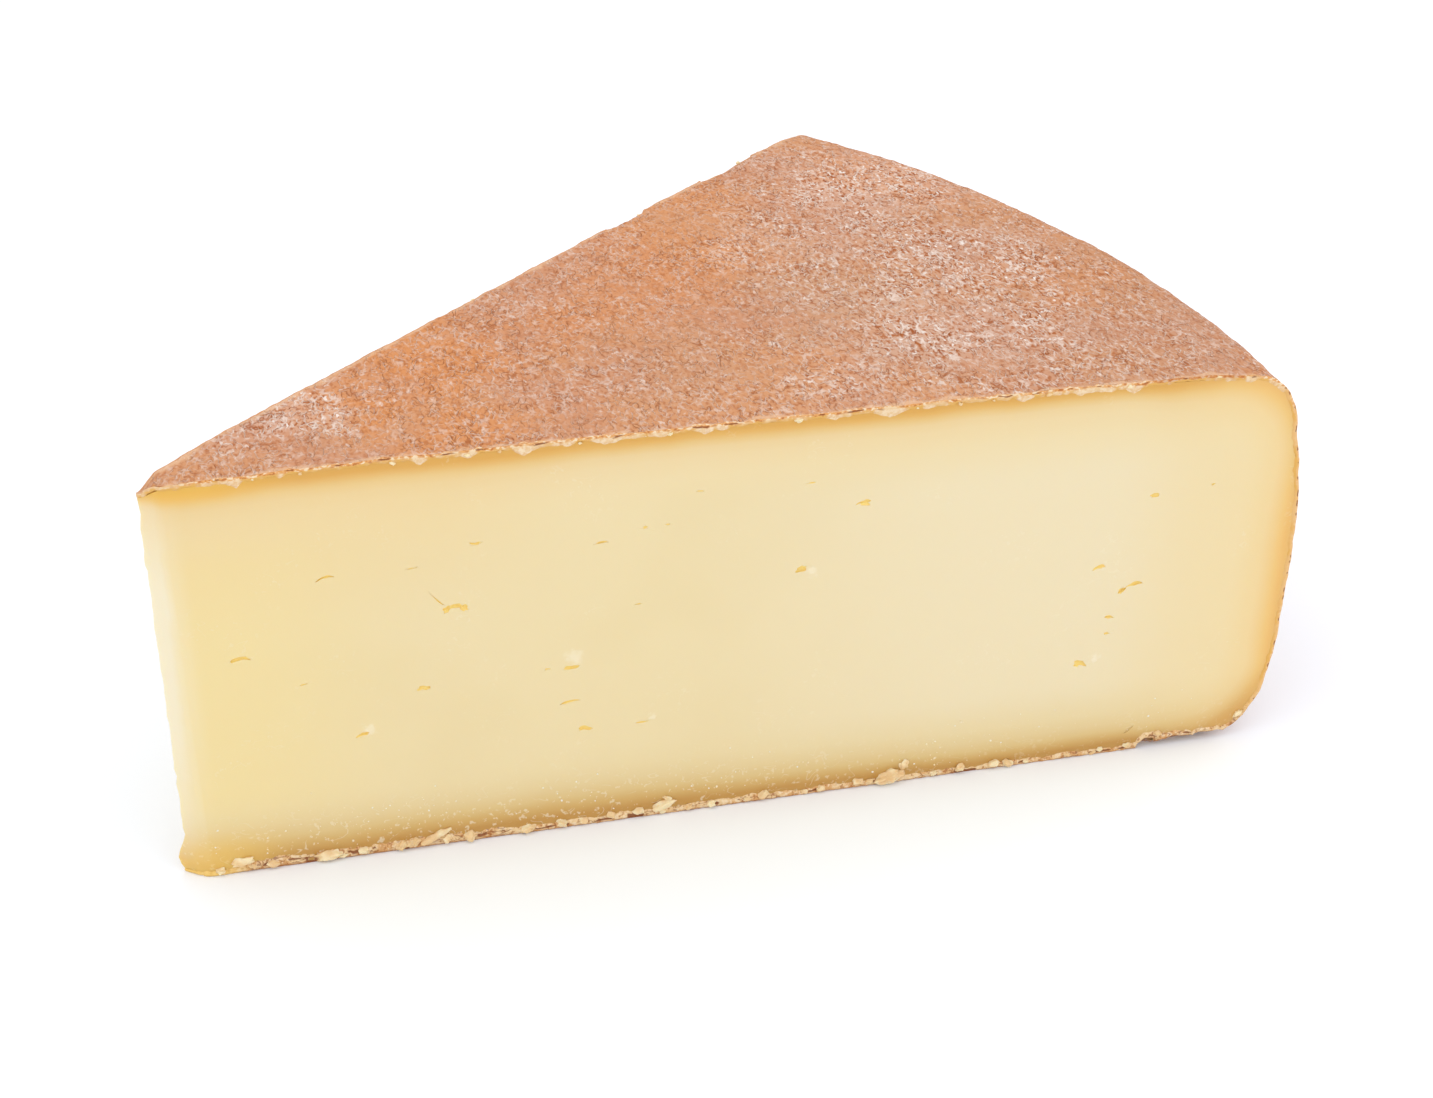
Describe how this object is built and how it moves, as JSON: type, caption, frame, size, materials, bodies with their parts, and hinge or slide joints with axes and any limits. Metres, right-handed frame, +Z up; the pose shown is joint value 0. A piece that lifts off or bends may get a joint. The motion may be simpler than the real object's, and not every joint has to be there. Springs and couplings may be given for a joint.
{
  "type": "cheese wedge",
  "caption": "Wedge cut from a washed-rind alpine cheese wheel, with uneven rind on its top, base and heel and small eyes in the smooth cut faces.",
  "frame": {"origin": "on the flat base, under the middle of the wedge's bounding box", "axes": "+Z up from the base, +X along the front cut from the tip towards the heel, -Y out of the front cut face"},
  "size_m": [0.1942, 0.131, 0.0762],
  "materials": {
    "paste": "smooth, moist cut cheese, pale straw yellow, darker towards the rind",
    "rind": "dry washed rind, orange-tan with pale bloom and fine wrinkles"
  },
  "bodies": {
    "root": {"cheese_wedge": "paste"}
  },
  "joints": []
}
